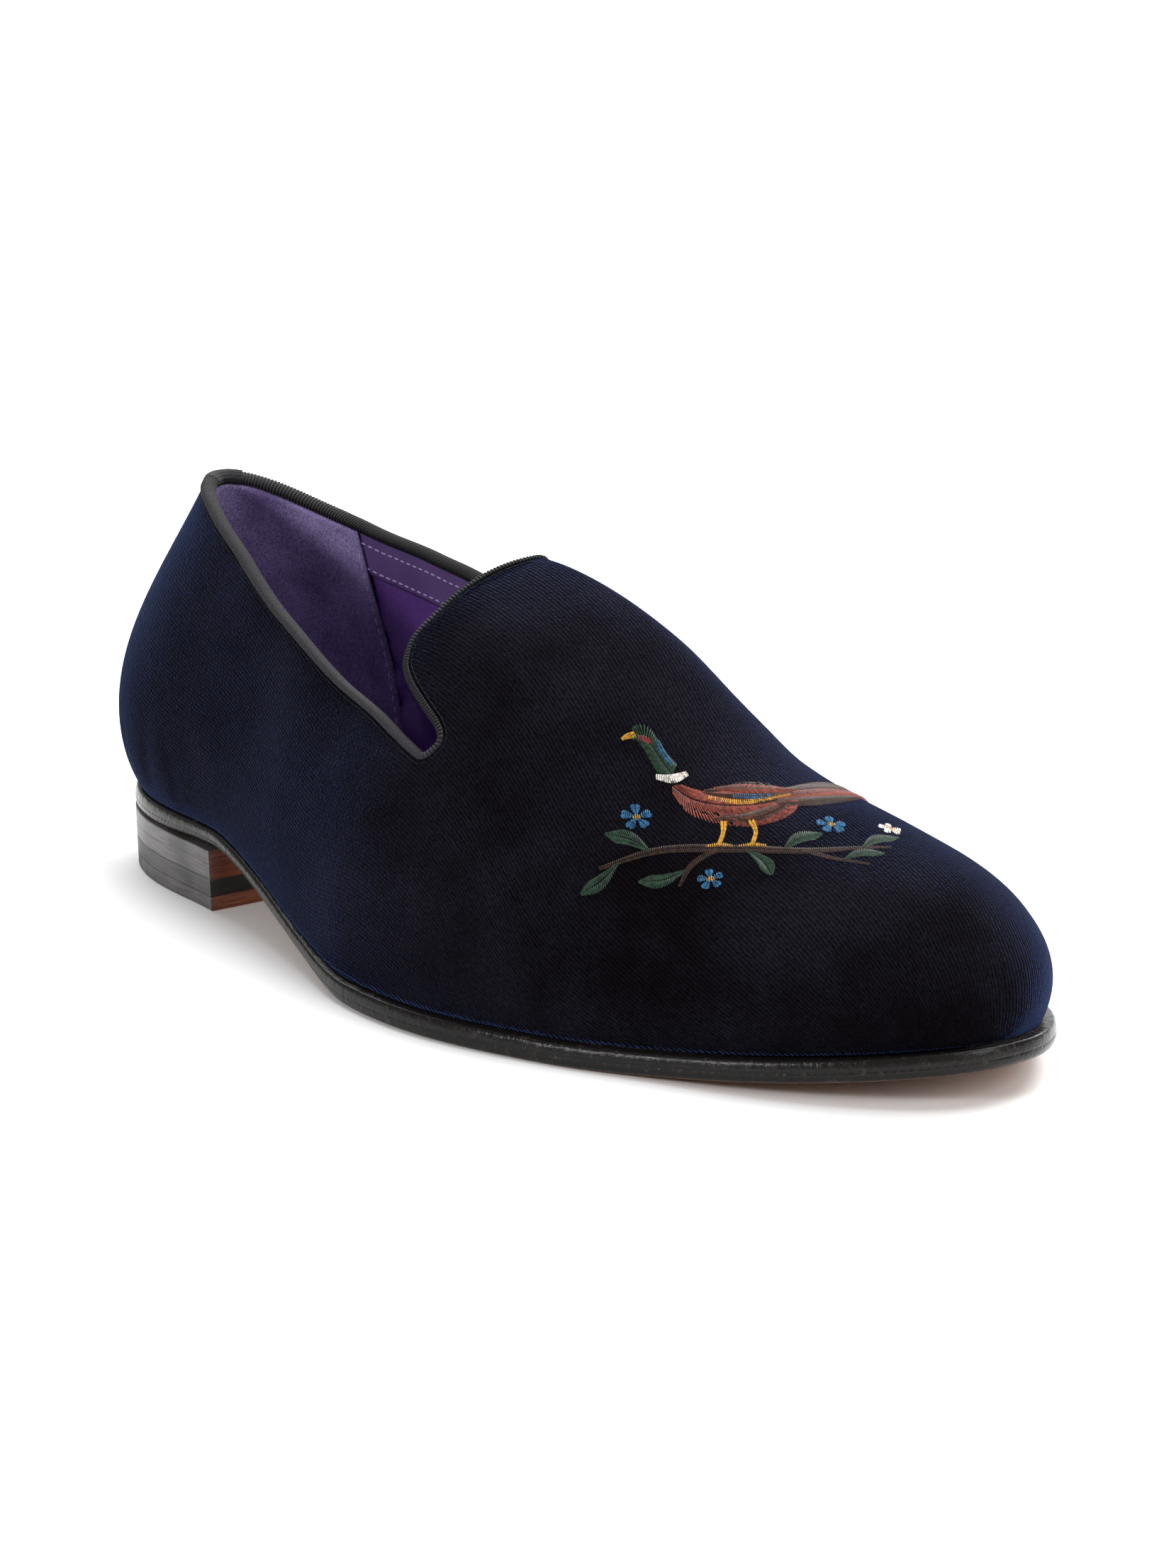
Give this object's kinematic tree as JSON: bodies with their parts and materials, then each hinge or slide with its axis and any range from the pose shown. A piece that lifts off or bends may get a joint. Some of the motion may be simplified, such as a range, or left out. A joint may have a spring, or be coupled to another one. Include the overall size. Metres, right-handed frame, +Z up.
{
  "type": "velvet slipper loafer",
  "caption": "Low-cut velvet slipper with a grosgrain-bound collar, leather sole and low stacked heel, for the right foot.",
  "frame": {"origin": "on the floor at the middle of the heel, half the heel's length in front of the back of the sole", "axes": "+X runs along the heel's middle line towards the toe, +Y to the inner side of a right foot, +Z up"},
  "size_m": [0.3029, 0.1202, 0.1014],
  "materials": {
    "velvet": "navy cotton velvet with a satin lining",
    "grosgrain": "charcoal ribbed ribbon",
    "suede_lining": "purple suede and satin insock",
    "sole_leather": "black-stained and waxed edge, tan tread",
    "heel_leather": "burnished stacked leather",
    "heel_rubber": "dark vulcanised sheet",
    "top_piece": "burnished sole leather",
    "tip_rubber": "hard black rubber"
  },
  "bodies": {
    "root": {"upper": "velvet", "collar_binding": "grosgrain", "insole": "suede_lining", "outsole": "sole_leather", "heel_leather_lifts": "heel_leather", "heel_rubber_lift": "heel_rubber", "top_piece_leather": "top_piece", "top_piece_rubber": "tip_rubber"}
  },
  "joints": []
}
